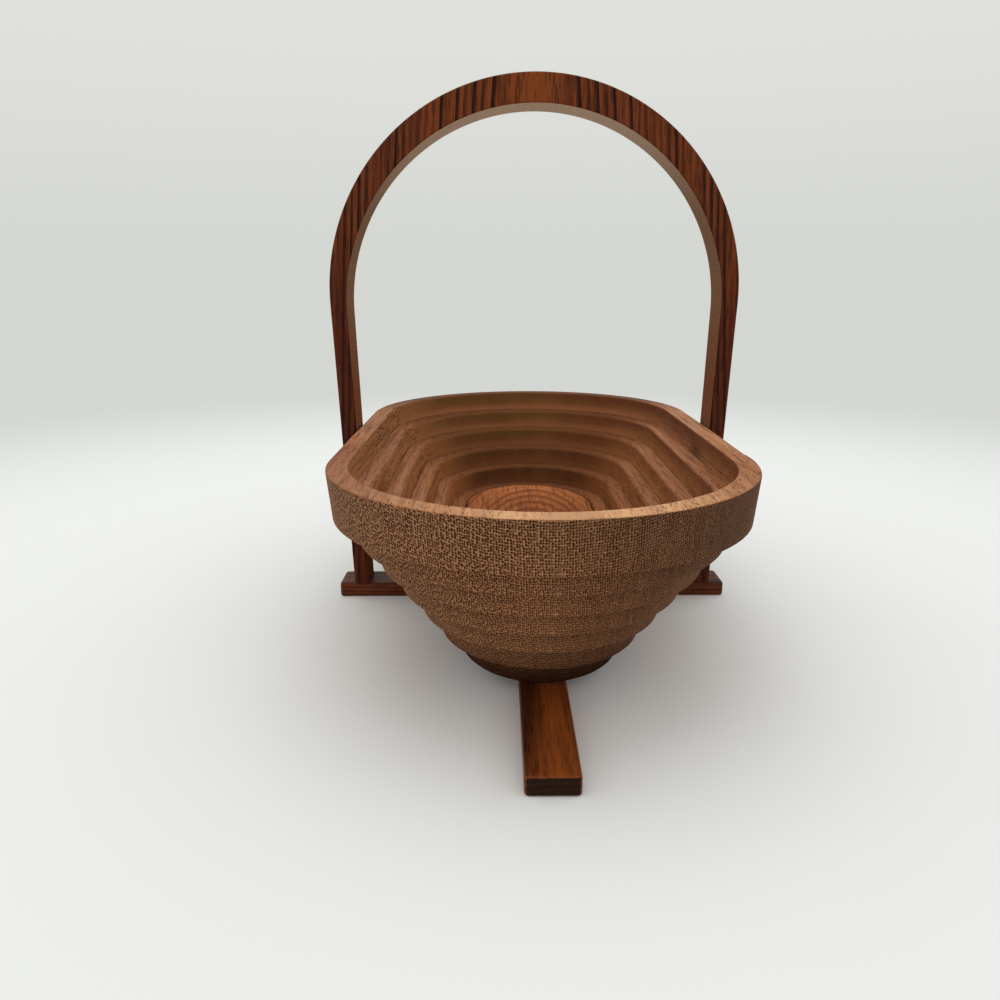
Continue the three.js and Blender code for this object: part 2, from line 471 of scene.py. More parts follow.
def describe(name, mesh):
    """Prints how many faces a mesh has and what it holds."""
    print(f"{name}: {len(mesh.polygons)} faces, {signed_volume(mesh) * 1e6:.1f} cubic cm")


def grid_faces(rows, close_rows, along_loop, along_rows):
    """Corner numbers and UV places of each face, between a row and the next and a point and the next."""
    row_count, loop_count = rows.shape[:2]
    spans = row_count if close_rows else row_count - 1
    r, i = (n.ravel() for n in np.meshgrid(np.arange(spans), np.arange(loop_count), indexing="ij"))
    turns = ((0, 0), (1, 0), (1, 1), (0, 1))
    faces = [(r + down) % row_count * loop_count + (i + on) % loop_count for down, on in turns]
    uv = [np.stack([along_loop[i + on], along_rows[r + down]], 1) for down, on in turns]
    return np.stack(faces, 1).tolist(), np.stack(uv, 1).reshape(-1, 2)


def end_fans(rows, points, faces, uv):
    """Closes the first and the last row with triangles about a hub at their middle."""
    row_count, loop_count = rows.shape[:2]
    points = np.vstack([points, rows[[0, -1]].mean(1)])
    loop = np.arange(loop_count)
    for hub, row, flip in ((len(points) - 2, 0, False), (len(points) - 1, row_count - 1, True)):
        here, there = row * loop_count + loop, row * loop_count + (loop + 1) % loop_count
        fan = np.stack([np.full(loop_count, hub), *((there, here) if flip else (here, there))], 1)
        faces += fan.tolist()
        level = np.ptp(rows[row][:, 2]) < level_within
        uv = np.vstack([uv, points[fan.ravel()][:, [0, 1] if level else [0, 2]]])
    return points, faces, uv


def write_attributes(mesh, points, grain_places, grain_axis, step_shade_above):
    """Stores for each point what the wood's recipes read: its place in the board, how its face lies, and the
    share of painted shade just under the turn above.
    """
    normals = np.zeros(len(mesh.vertices) * 3, np.float32)
    mesh.vertex_normals.foreach_get("vector", normals)
    normals = normals.reshape(-1, 3)
    away = points[:, :2] - points[:, :2].mean(0)
    stored = {
        "grain_place": grain_places[:, grain_axis],
        "end_grain": np.abs(normals[:, grain_axis[0]]),
        "level_face": np.abs(normals[:, 2]),
        "inward_face": np.einsum("ij,ij->i", away, normals[:, :2]) < -inward_reach,
    }
    # Painted shade on a turn's outer face just under the lip of the turn above, growing upward over a few
    # millimetres.
    if step_shade_above is not None:
        stored["painted_step_shade"] = np.clip((points[:, 2] - step_shade_above) / step_shade_fade, 0, 1)
    for name, values in stored.items():
        kind, field = ("FLOAT_VECTOR", "vector") if values.ndim == 2 else ("FLOAT", "value")
        attribute = mesh.attributes.new(name, kind, "POINT")
        attribute.data.foreach_set(field, values.astype(np.float32).ravel())


def make_skin(
    name,
    rows,
    close_rows,
    grain_axis,
    along_loop,
    along_rows,
    lift=None,
    board_offset=(0, 0, 0),
    step_shade_above=None,
):
    """A closed mesh from rows[r, i], with fans at both ends unless the rows close on themselves.
    along_loop and along_rows hold metres at each grid line, one more than the points where the grid closes.
    grain_axis orders x, y, z as along, across and through the grain. The place in the board is the place in
    the rows plus board_offset, and lift then carries the finished mesh to where the piece is."""
    points = rows.reshape(-1, 3)
    faces, uv = grid_faces(rows, close_rows, along_loop, along_rows)
    if not close_rows:
        points, faces, uv = end_fans(rows, points, faces, uv)
    mesh = bpy.data.meshes.new(name)
    mesh.from_pydata(points.tolist(), [], faces)
    mesh.uv_layers.new(name="metres").data.foreach_set("uv", uv.astype(np.float32).ravel())
    mesh.polygons.foreach_set("use_smooth", np.ones(len(mesh.polygons), bool))
    mesh.update()
    if signed_volume(mesh) < 0:
        mesh.flip_normals()
    write_attributes(mesh, points, points + board_offset, grain_axis, step_shade_above)
    if lift is not None:
        mesh.transform(lift)
    piece = bpy.data.objects.new(name, mesh)
    bpy.context.scene.collection.objects.link(piece)
    describe(name, mesh)
    return piece


# %% [markdown]
# ## The board's outline
#
# Seen from above, the board has two straight sides and two half-elliptical ends.
# A cut at any distance inside the edge is the same outline moved inward along its
# own normals. A hand-guided cut also wanders by a fraction of a millimetre, and
# the two faces of one cut wander together, so the gap between turns stays even.

# %% Outline and cuts
points_per_end = 120
points_per_side = 56
cut_wander = 0.16 * MM
wave_counts = (3, 5, 8, 13, 21)
nick_depth = 0.5 * MM
nick_start_y = -74 * MM
nick_length = 70 * MM
cut_random = np.random.default_rng(7)


def outline_frame():
    """Points and outward normals of the board's edge, in order round it: an end, a side, an end, a side."""
    angle = np.linspace(0, math.pi, points_per_end, endpoint=False)
    steps = np.linspace(0, 1, points_per_side, endpoint=False)
    places, normals = [], []
    for end in (1, -1):
        across, out = np.cos(angle) * board_half_width, np.sin(angle) * end_depth
        lean = np.stack([np.cos(angle) / board_half_width, np.sin(angle) / end_depth], 1)
        normals.append(end * lean / np.linalg.norm(lean, axis=1, keepdims=True))
        places.append(end * np.stack([across, out + straight_side / 2], 1))
        side = np.stack([np.full(points_per_side, -board_half_width), straight_side * (0.5 - steps)], 1)
        normals.append(end * np.tile([-1.0, 0.0], (points_per_side, 1)))
        places.append(end * side)
    return np.vstack(places) + [0, board_centre_y], np.vstack(normals)


edge_places, edge_normals = outline_frame()
along_edge = metres_along(edge_places, closed=True)
print("board outline:", len(edge_places), "points,", round(along_edge[-1], 4), "m round")


def cut_wobble():
    """How far one cut strays outwards at each point of the outline: sum of sin(n x + phase) / sqrt(n)."""
    share = along_edge[:-1] / along_edge[-1]
    waves = [(n, cut_random.uniform(0, 2 * math.pi)) for n in wave_counts]
    total = sum(np.sin(2 * math.pi * n * share + phase) / math.sqrt(n) for n, phase in waves)
    return total * cut_wander / 2


def entry_nick():
    """Where the saw came in at the right edge it left a small step, which fades out towards the back."""
    behind = (edge_places[:, 1] - nick_start_y) / nick_length
    on_nick = (behind > 0) & (behind < 1) & (edge_places[:, 0] > 0)
    return np.where(on_nick, nick_depth * (1 - behind) ** 2, 0)


# %% [markdown]
# ## Turns of the board
#
# A turn is its section carried round the outline. The section is a leaning wall
# whose upper inside edge was eased by hand, while the edges that the saw left
# against the next turn stay crisp. Its faces lean inward as they go down, which is
# what lets a turn drop and then wedge.

# %% Section of a turn
round_steps = 5
face_steps = 7


def quarter(radius):
    """Bites out of both faces of a square corner of that radius, from one tangent point to the other."""
    angle = np.linspace(0, math.pi / 2, round_steps + 1)
    return radius * (1 - np.sin(angle)), radius * (1 - np.cos(angle))


def face_profile(top_round):
    """Bite into the wall and height above the turn's base, up one face from the base to the top."""
    low_bite, low_rise = quarter(sawn_edge_round)
    top_bite, top_fall = quarter(top_round)
    face = np.linspace(sawn_edge_round, board_thickness - top_round, face_steps)[1:-1]
    bites = np.concatenate([low_bite, np.zeros(len(face)), top_bite[::-1]])
    heights = np.concatenate([low_rise, face, board_thickness - top_fall[::-1]])
    return bites, heights


def face_rows(inset, top_round, side, wobble):
    """Closed loops up one face of a cut: an outer face for side 1, and an inner face for side -1."""
    bites, heights = face_profile(top_round)
    insets = inset + side * bites + (board_thickness - heights) * face_slope
    plans = edge_places - edge_normals * (insets[:, None] - wobble)[:, :, None]
    return np.dstack([plans, np.repeat(heights[:, None], len(edge_places), 1)])


def turn_rows(start_inset, wall, outer_round, inner_round, outer_wobble, inner_wobble):
    """Closed loops over a turn's whole skin: up the outer face, over the top and down inside."""
    outer = face_rows(start_inset, outer_round, 1, outer_wobble)
    inner = face_rows(start_inset + wall, inner_round, -1, inner_wobble)
    return np.concatenate([outer, inner[::-1]])


print("one face of a turn has", len(face_profile(turn_inner_round)[0]), "points in its section")

# %% [markdown]
# The rim is the outermost turn. Its wall is thicker, its outer edge is rounded more,
# and it stays where it is while each turn below it lies one drop lower than the one
# outside it. Two neighbours share the wander of the cut between them.

# %% Make the turns
turn_count = sum(name.startswith("turn_") for name in frame["nodes"])
wobbles = [cut_wobble() for _ in range(turn_count + 2)]
wobbles[0] = -entry_nick()
board_pieces = {}
first_inset = rim_wall + saw_kerf
turn_pitch = turn_wall + saw_kerf
shown_below = 4 * MM
hidden_height = board_thickness - drop_per_turn - shown_below
for number in range(turn_count + 1):
    if number == 0:
        node, inset, wall, outer_round, inner_round = "rim", 0, rim_wall, rim_outer_round, rim_inner_round
    else:
        node, inset = f"turn_{number}", first_inset + (number - 1) * turn_pitch
        wall, outer_round, inner_round = turn_wall, sawn_edge_round, turn_inner_round
    rows = turn_rows(inset, wall, outer_round, inner_round, wobbles[number], wobbles[number + 1])
    board_pieces[node] = make_skin(
        node + "_wood",
        rows,
        True,
        ALONG_Y,
        along_edge,
        metres_along(rows[:, 0], closed=True),
        lift=Matrix.Translation((0, 0, rim_bottom - number * drop_per_turn)),
        step_shade_above=hidden_height if number else None,
    )

# %% [markdown]
# ## The floor of the bowl
#
# The last cut leaves the middle of the board whole, and it ends at the back, so the
# floor hangs level there and dips at the front. It is built flat, like a turn whose
# section ends in the middle with rings of points closing in on a hub, and it is
# then turned down about its back edge.

# %% Make the floor
floor_rings = 14
floor_inset = first_inset + turn_count * turn_pitch
floor_half_length = board_length / 2 - floor_inset
floor_dip = math.asin(drop_per_turn / (2 * floor_half_length))
floor_top = rim_bottom + board_thickness - turn_count * drop_per_turn
hinge_place = Vector((0, board_centre_y + floor_half_length, floor_top))


def floor_rows():
    """From the underside's hub out to the edge, up the leaning face, and in over the top to its hub."""
    face = face_rows(floor_inset, sawn_edge_round, 1, wobbles[-1])
    shares = np.linspace(0, 1, floor_rings + 1)[1:-1]

    def towards_hub(edge, share):
        """The edge, drawn in to a share of its size about its middle."""
        hub = edge.mean(0)
        return hub + (edge - hub) * share

    under = [towards_hub(face[0], s) for s in shares]
    over = [towards_hub(face[-1], s) for s in shares[::-1]]
    return np.array(under + list(face) + over)


rows = floor_rows()
board_pieces["bottom_board"] = make_skin(
    "bottom_board_wood",
    rows,
    False,
    ALONG_Y,
    along_edge,
    metres_along(rows[:, 0]),
    lift=Matrix.Translation(hinge_place)
    @ Matrix.Rotation(floor_dip, 4, "X")
    @ Matrix.Translation((0, -hinge_place.y, -board_thickness)),
    step_shade_above=hidden_height,
)
print("the floor dips by", round(math.degrees(floor_dip), 2), "degrees")

# %% [markdown]
# ## The arch
#
# The handle is sawn from a board and not bent: the grain runs straight up through
# both legs and across the crown. Its outside and inside are two half circles with
# straight legs that lean in below them. Both curves are cut into equal shares, and
# a rounded section is stretched between them all the way round.

# %% Arch curves
foot_height = corner("cross_foot", True, 2)
arch_height = corner("handle_arch", True, 2)
arch_depth = corner("handle_arch", True, 1) - corner("handle_arch", False, 1)
arch_radius = corner("handle_arch", True, 0)
arch_wall_at_crown = 12.3 * MM
arch_wall_at_legs = 7.8 * MM
arch_inner_radius = arch_radius - arch_wall_at_legs
leg_lean_outside = math.radians(2.2)
leg_lean_inside = math.radians(1.72)
arch_edge_round = 1.0 * MM
arch_curve_points = 400
arch_stations = 260


def arch_side(radius, crown, lean):
    """A half circle that touches the crown and legs that lean in to the foot, in equal shares of length."""
    centre = crown - radius
    angle = np.linspace(-lean, math.pi + lean, arch_curve_points)
    curve = np.column_stack([radius * np.cos(angle), centre + radius * np.sin(angle)])
    end_x = curve[0, 0] - math.tan(lean) * (curve[0, 1] - foot_height)
    path = np.vstack([[end_x, foot_height], curve, [-end_x, foot_height]])
    gone = metres_along(path)
    wanted = np.linspace(0, gone[-1], arch_stations)
    return np.column_stack([np.interp(wanted, gone, path[:, k]) for k in (0, 1)]), wanted


def rounded_section(half_width, half_depth, radius, flat_points=6):
    """A rectangle with quarter-round corners about the origin, as points in anticlockwise order."""
    angle = np.linspace(0, math.pi / 2, round_steps + 1)
    corner_arc = np.column_stack([np.cos(angle), np.sin(angle)]) * radius
    points = []
    for turn, (right, up) in enumerate(((1, 1), (-1, 1), (-1, -1), (1, -1))):
        c, s = round(math.cos(turn * math.pi / 2)), round(math.sin(turn * math.pi / 2))
        middle = np.array([(half_width - radius) * right, (half_depth - radius) * up])
        arc = corner_arc @ np.array([[c, s], [-s, c]]) + middle
        if points:
            points += list(np.linspace(points[-1], arc[0], flat_points)[1:-1])
        points += list(arc)
    points += list(np.linspace(points[-1], points[0], flat_points)[1:-1])
    return np.array(points)


def arch_rows():
    """At each station the section spans from the inside curve to the outside one, and front to back."""
    outside, metres = arch_side(arch_radius, arch_height, leg_lean_outside)
    inside, _ = arch_side(arch_inner_radius, arch_height - arch_wall_at_crown, leg_lean_inside)
    rows = []
    for out, inner in zip(outside, inside):
        middle, half = (out + inner) / 2, np.linalg.norm(out - inner) / 2
        section = rounded_section(half, arch_depth / 2, arch_edge_round)
        plan = middle + (out - inner) / (2 * half) * section[:, :1]
        rows.append(np.column_stack([plan[:, 0], section[:, 1], plan[:, 1]]))
    return np.array(rows), metres


print("the arch is", round(2 * arch_inner_radius, 4), "m wide inside")

# %% [markdown]
# The UV map counts metres round the section at a leg and metres up and over the
# arch, so that the saw's ridges inside the arch stay evenly spaced all the way.

# %% Make the arch
arch_places, arch_metres = arch_rows()
arch_section = rounded_section(arch_wall_at_legs / 2, arch_depth / 2, arch_edge_round)
arch_loop_metres = metres_along(arch_section, closed=True)
arch = make_skin("handle_arch_wood", arch_places, False, ALONG_Z, arch_loop_metres, arch_metres)

# %% [markdown]
# ## Foot bars
#
# Two flat bars cross in a half-lapped joint. Each is a rounded section carried
# along the bar, drawn in at both ends so that the ends are eased too. The laps are
# then cut away with a block each, as a saw and chisel would.

# %% Bars and cutting
foot_edge_round = 0.9 * MM
foot_end_round = 1.6 * MM
lap_gap = 0.15 * MM
end_row_count = 7
middle_row_count = 24


def bar_rows(length_range, half_cross, axis):
    """Sections along the bar, which narrow near an end as a quarter circle does."""
    start, stop = length_range
    angle = np.linspace(0, math.pi / 2, end_row_count)
    draw_in = 1 - np.sin(angle)
    reach = (1 - np.cos(angle)) * foot_end_round
    middle_rows = np.linspace(start + foot_end_round, stop - foot_end_round, middle_row_count)[1:-1]
    stations = np.concatenate([start + reach, middle_rows, stop - reach[::-1]])
    narrowing = np.concatenate([draw_in, np.zeros(len(middle_rows)), draw_in[::-1]])
    half_height = foot_height / 2
    rows = []
    for place, share in zip(stations, narrowing):
        half_sizes = half_cross - share * foot_end_round, half_height - share * foot_edge_round
        across, up = rounded_section(*half_sizes, foot_edge_round).T
        along, up = np.full(len(across), place), up + half_height
        rows.append(np.column_stack([along, across, up] if axis == 0 else [across, along, up]))
    return np.array(rows), stations - start


def make_bar(name, length_range, half_cross, axis, grain, offset):
    """A foot bar on the ground, along x for axis 0 and along y for axis 1."""
    rows, metres = bar_rows(length_range, half_cross, axis)
    section = rounded_section(half_cross, foot_height / 2, foot_edge_round)
    loop_metres = metres_along(section, closed=True)
    return make_skin(name, rows, False, grain, loop_metres, metres, board_offset=offset)


def subtract(piece, cutter):
    """Boolean difference, worked out at once, after which the cutter is thrown away."""
    bpy.context.scene.collection.objects.link(cutter)
    modifier = piece.modifiers.new("cut", "BOOLEAN")
    modifier.operation = "DIFFERENCE"
    modifier.solver = "EXACT"
    modifier.object = cutter
    graph = bpy.context.evaluated_depsgraph_get()
    result = piece.evaluated_get(graph)
    cut = bpy.data.meshes.new_from_object(result, preserve_all_data_layers=True, depsgraph=graph)
    piece.modifiers.clear()
    piece.data = cut
    bpy.data.objects.remove(cutter)
    describe(piece.name + " after the cut", cut)


def cut_away(piece, low, high, name):
    """Takes the block between two corners out of the piece, and keeps the cut edges crisp."""
    block = bpy.data.meshes.new(name)
    x, y, z = zip(low, high)
    corners = [(a, b, c) for a in x for b in y for c in z]
    sides = [(0, 1, 3, 2), (4, 6, 7, 5), (0, 4, 5, 1), (2, 3, 7, 6), (0, 2, 6, 4), (1, 5, 7, 3)]
    block.from_pydata(corners, [], sides)
    subtract(piece, bpy.data.objects.new(name, block))


print("the foot bars are", round(foot_height, 4), "m thick")

# %% [markdown]
# Each bar gets its own place in a larger board, so that the two don't show the same
# figure. The cross bar loses the lower half of its middle, and the front bar keeps
# its lower half there as a tongue. The blocks reach well past the wood they cut.

# %% Make the feet
lap_height = foot_height / 2
cross_half_width = corner("cross_foot", True, 1)
cross_reach = corner("cross_foot", True, 0)
front_half_width = corner("front_foot", True, 0)
front_range = corner("front_foot", False, 1), corner("front_foot", True, 1)
cross_board_place = [300 * MM, 20 * MM, 10 * MM]
front_board_place = [0, 300 * MM, 40 * MM]
beyond = 20 * MM

cross_foot = make_bar(
    "cross_foot_wood", (-cross_reach, cross_reach), cross_half_width, 0, ALONG_X, cross_board_place
)
front_foot = make_bar("front_foot_wood", front_range, front_half_width, 1, ALONG_Y, front_board_place)
notch_half = front_half_width + lap_gap
cut_away(cross_foot, (-notch_half, -beyond, -beyond / 2), (notch_half, beyond, lap_height), "lap_block")
shoulder = -cross_half_width - lap_gap
cut_away(front_foot, (-beyond, shoulder, lap_height), (beyond, beyond, foot_height * 2), "tongue_block")

# %% [markdown]
# ## Pivot dowels
#
# Two dowels carry the rim between the legs. Each is a profile turned round its own
# axis, with a slight bevel at the buried end, and cut flush with the leaning leg at
# the other. The legs and the rim are bored for them.

# %% Make the dowels and bore for them
dowel_radius = (corner("pivot_dowel_right", True, 2) - corner("pivot_dowel_right", False, 2)) / 2
dowel_height = (corner("pivot_dowel_right", True, 2) + corner("pivot_dowel_right", False, 2)) / 2
dowel_inner_end = corner("pivot_dowel_right", False, 0)
dowel_outer_end = corner("pivot_dowel_right", True, 0)
dowel_clearance = 0.3 * MM
dowel_bevel = 0.5 * MM
bore_points = 40
past_leg = arch_radius + 5 * MM
inside_rim = board_half_width * 0.9


def round_bar_rows(stations, radii):
    """Circles about the pivot's axis, which runs along X at the dowels' height."""
    angle = np.linspace(0, 2 * math.pi, bore_points, endpoint=False)
    circle = np.column_stack([np.zeros(bore_points), np.cos(angle), np.sin(angle)])
    return np.array([circle * r + [x, 0, dowel_height] for x, r in zip(stations, radii)])


def make_dowel(name, side):
    """A dowel on the right for side 1 and on the left for side -1, bevelled more at its buried end."""
    start, stop = dowel_inner_end, dowel_outer_end
    stations = np.array([start, start + dowel_bevel, stop - dowel_bevel / 2, stop])
    rows = round_bar_rows(side * stations, dowel_radius - np.array([dowel_bevel, 0, 0, dowel_bevel / 2]))
    loop_metres = np.linspace(0, 2 * math.pi * dowel_radius, bore_points + 1)
    return make_skin(name, rows, False, ALONG_X, loop_metres, stations - start)


def bore(piece, side, start, stop):
    """A straight hole along X on that side, one clearance wider than the dowel."""
    start, stop = sorted((side * start, side * stop))
    rows = round_bar_rows([start, stop], [dowel_radius + dowel_clearance] * 2)
    loop_metres = np.linspace(0, 1, bore_points + 1)
    cutter = make_skin("bore", rows, False, ALONG_X, loop_metres, np.array([0, stop - start]))
    bpy.context.scene.collection.objects.unlink(cutter)
    subtract(piece, cutter)


dowel_sides = {"pivot_dowel_right": 1, "pivot_dowel_left": -1}
dowels = {node: make_dowel(node + "_wood", side) for node, side in dowel_sides.items()}
for side in dowel_sides.values():
    bore(board_pieces["rim"], side, dowel_inner_end - dowel_clearance, past_leg)
    bore(arch, side, inside_rim, past_leg)

# %% [markdown]
# ## The board's wood
#
# All turns and the floor are one board. They share one recipe, and the floor has
# redder colours and stronger ring lines. On the sawn ends the rows of pores and the
# ridges of the saw make the woven look: the rows follow wide arcs about a line
# above the board, and they grow orderly towards the right. On the long sides the
# same pores are long dashes; the sanded tops are smoother and paler. The end grain
# drinks more oil and goes darker. Painted shade darkens the bowl low down near the
# ground, deep inside and under each turn's lip, and painted light brightens the near
# end of the rim and the long left side inside.

# %% What the recipes ask about a point
board_rings = {
    "Pith Depth": 220 * MM,
    "Pith Side": 6 * MM,
    "Ring Width": 1.5 * MM,
    "Taper": 0.004,
    "Dome Height": 14 * MM,
    "Dome Length": 85 * MM,
    "Dome Breadth": 42 * MM,
    "Wander": 2.2 * MM,
}
board_pores = {"Spacing": 0.78 * MM, "Stretch": 6.0, "Fullness": 0.24}
board_saw_spacing = 1.5 * MM
column_spacing, row_spacing = 0.86 * MM, 0.9 * MM
row_centre_above = 125 * MM
knot_place = [-30 * MM, 71 * MM, 8 * MM]
knot_stretch = 2


def attribute(tree, name, output="Fac"):
    """What each mesh stores under that name, at the point being shaded."""
    return value_of(tree, "ShaderNodeAttribute", output=output, attribute_name=name)


def use_group(tree, group, inputs):
    """One of the shared shader groups placed in a material, with this material's own values."""
    return outputs_of(add_node(tree, "ShaderNodeGroup", inputs, node_tree=group))


def new_material(name):
    """A material with nothing in it but a Principled shader, wired to the output."""
    material = bpy.data.materials.new(name)
    material.use_nodes = True
    tree = material.node_tree
    shader = next(n for n in tree.nodes if n.type == "BSDF_PRINCIPLED")
    return material, tree, shader.inputs


def cut_place(tree):
    """Metres along the cut and metres up it, from the piece's own UV map."""
    return split(value_of(tree, "ShaderNodeUVMap", uv_map="metres"))[:2]


def bump(height, depth):
    """Tilts the shading as if the surface stood out by height times depth, in metres."""
    return value_of(height.tree, "ShaderNodeBump", {"Height": height, "Distance": depth})


def board_point(tree):
    """Where the point is in the board and above the ground, how it faces, and what the wood does there."""
    at = SimpleNamespace(place=attribute(tree, "grain_place", "Vector"))
    at.along, at.across, at.up = split(at.place)
    at.height = split(value_of(tree, "ShaderNodeTexCoord", output="Object"))[2]
    at.inward = attribute(tree, "inward_face")
    at.outward = 1 - at.inward
    at.wall = 1 - remap(attribute(tree, "level_face"), 0.3, 0.75)
    at.end_grain = attribute(tree, "end_grain")
    at.woven = remap(at.end_grain, 0.15, 0.5) * at.wall
    at.on_rim = remap(at.height, 76 * MM, 80 * MM)
    # A painted highlight on the top of the rim at its near end, where light glances off it.
    near = fade(at.along, -130 * MM, -100 * MM)
    from_left = remap(at.across, -34 * MM, -12 * MM, 0.25, 1.0)
    from_right = remap(at.across, 22 * MM, 65 * MM, 1.0, 0.1)
    at.near_end = near * from_left * from_right * at.on_rim
    at.patches = noise(at.place, 34, 3, 0.55, (5, 1, 1))
    at.soft_patches = remap(at.patches, 0.3, 0.7)
    at.fibres = noise(at.place, 620, 3, 0.6, (16, 1, 1))
    return at


print("a ring every", board_rings["Ring Width"], "m and a pore every", board_pores["Spacing"], "m")

# %% [markdown]
# Oil and hands leave their own colours on each side of the board, and light and
# shade are painted in as colours too. They are laid over one another like thin coats
# of paint, each with the share that it covers there. Shares that depend on the place
# fade softly, so that no border shows.

# %% Colours of the board


def top_colour(at, colours, far_colour):
    """Sanded faces: patchy, duller on the ledges than on the rim, with a painted highlight at the near end of
    the rim.
    """
    near_left = fade(at.across, -56 * MM, -43 * MM, 0.45) * fade(at.along, -70 * MM, -30 * MM) * at.on_rim
    return coats(
        mix_colours(at.soft_patches, *colours),
        (fade(at.height, 76 * MM, 80 * MM, 0.4), "8a5232"),
        (at.near_end, "e0ab7c"),
        (near_left, "7a4630"),
        (remap(at.along, 30 * MM, 90 * MM), far_colour),
    )


def wall_colour(at):
    """Sawn faces. Inside the bowl they carry painted shade under the lip and low down, painted light along
    the left side, and are paler at the foot of each wall.
    """
    # Painted shade under each lip, stronger towards the right and the back of the bowl.
    lip_shade_strength = remap(at.across + at.along, -30 * MM, 60 * MM, 0.5, 0.95)
    painted_lip_shade = mix_colours(remap(at.across, 0.0, 40 * MM), "684826", "643820")
    long_side = at.inward * fade(at.end_grain, 0.0, 0.8)
    # Painted light on the long inside walls, strongest on the left side of the bowl.
    lit_share = larger(fade(at.across, -30 * MM, -10 * MM, 0.9), fade(at.height, 55 * MM, 78 * MM, 0.55))
    lit_side = mix_colours(remap(at.height, 40 * MM, 80 * MM), "c48450", "ae7748")
    return coats(
        mix_colours(at.soft_patches, "95633a", "7e4e2c"),
        (at.inward * fade(at.up, 8.5 * MM, 12.5 * MM, 0.85), "a56c48"),
        # Painted shade under the lip of the turn above, and painted shade deep in the bowl.
        (at.inward * remap(at.up, 9.5 * MM, 16.5 * MM) * lip_shade_strength, painted_lip_shade),
        (at.inward * fade(at.height, 35 * MM, 72 * MM, 0.6), "4a2611"),
        (long_side * lit_share, lit_side),
    )


def cloth_colour(at):
    """What lies under the weave: mottled, darker upwards, redder on the left and paler on the right."""
    mottle = remap(noise(at.place, 60, 4, 0.6, (2, 1, 1)), 0.3, 0.7)
    low_right = remap(at.across, 20 * MM, 50 * MM, 0.0, 0.45) * fade(at.height, 50 * MM, 62 * MM)
    far_right = remap(at.across, 66 * MM, 76 * MM, 0.0, 0.35)
    return coats(
        mix_colours(mottle, "885433", "683c25"),
        (remap(at.height, 50 * MM, 80 * MM, 0.0, 0.5), "361b11"),
        (fade(at.across, -50 * MM, -10 * MM, 0.5), "5a3426"),
        (larger(low_right, far_right), "a4745a"),
    )


def knot_share(at):
    """Dark near the knot, which is stretched along the grain."""
    from_knot = calculate_vector("SUBTRACT", at.place, knot_place)
    squeezed = calculate_vector("MULTIPLY", from_knot, [1 / knot_stretch, 1, 1])
    distance = calculate_vector("LENGTH", squeezed, output="Value")
    return fade(distance, 1 * MM, 8.5 * MM, 0.95) * remap(at.fibres, 0.3, 0.6, 0.5, 1.0)


def worn_edge_share(at):
    """Pale in patches on the crisp outer edges, where the finish is rubbed off, least on the woven ends."""
    edges = larger(fade(at.up, 0.2 * MM, 1.2 * MM), remap(at.up, 16.8 * MM, 17.6 * MM))
    worn = remap(noise(at.place, 160, 3, 0.6), 0.4, 0.65, 0.0, 0.14)
    return edges * at.outward * at.wall * worn * (1 - at.woven * 0.8)


# %% [markdown]
# The material puts the coats on roughly in the order in which they came to be: the
# wood, its knot and rings, the weave on the sawn ends with the pores, the saw's
# streaks, and then wear, painted shade under each turn's lip, painted glints and
# painted shade near the ground. The same pits, threads and ridges also tilt the
# shading, so that light catches them.

# %% Board material


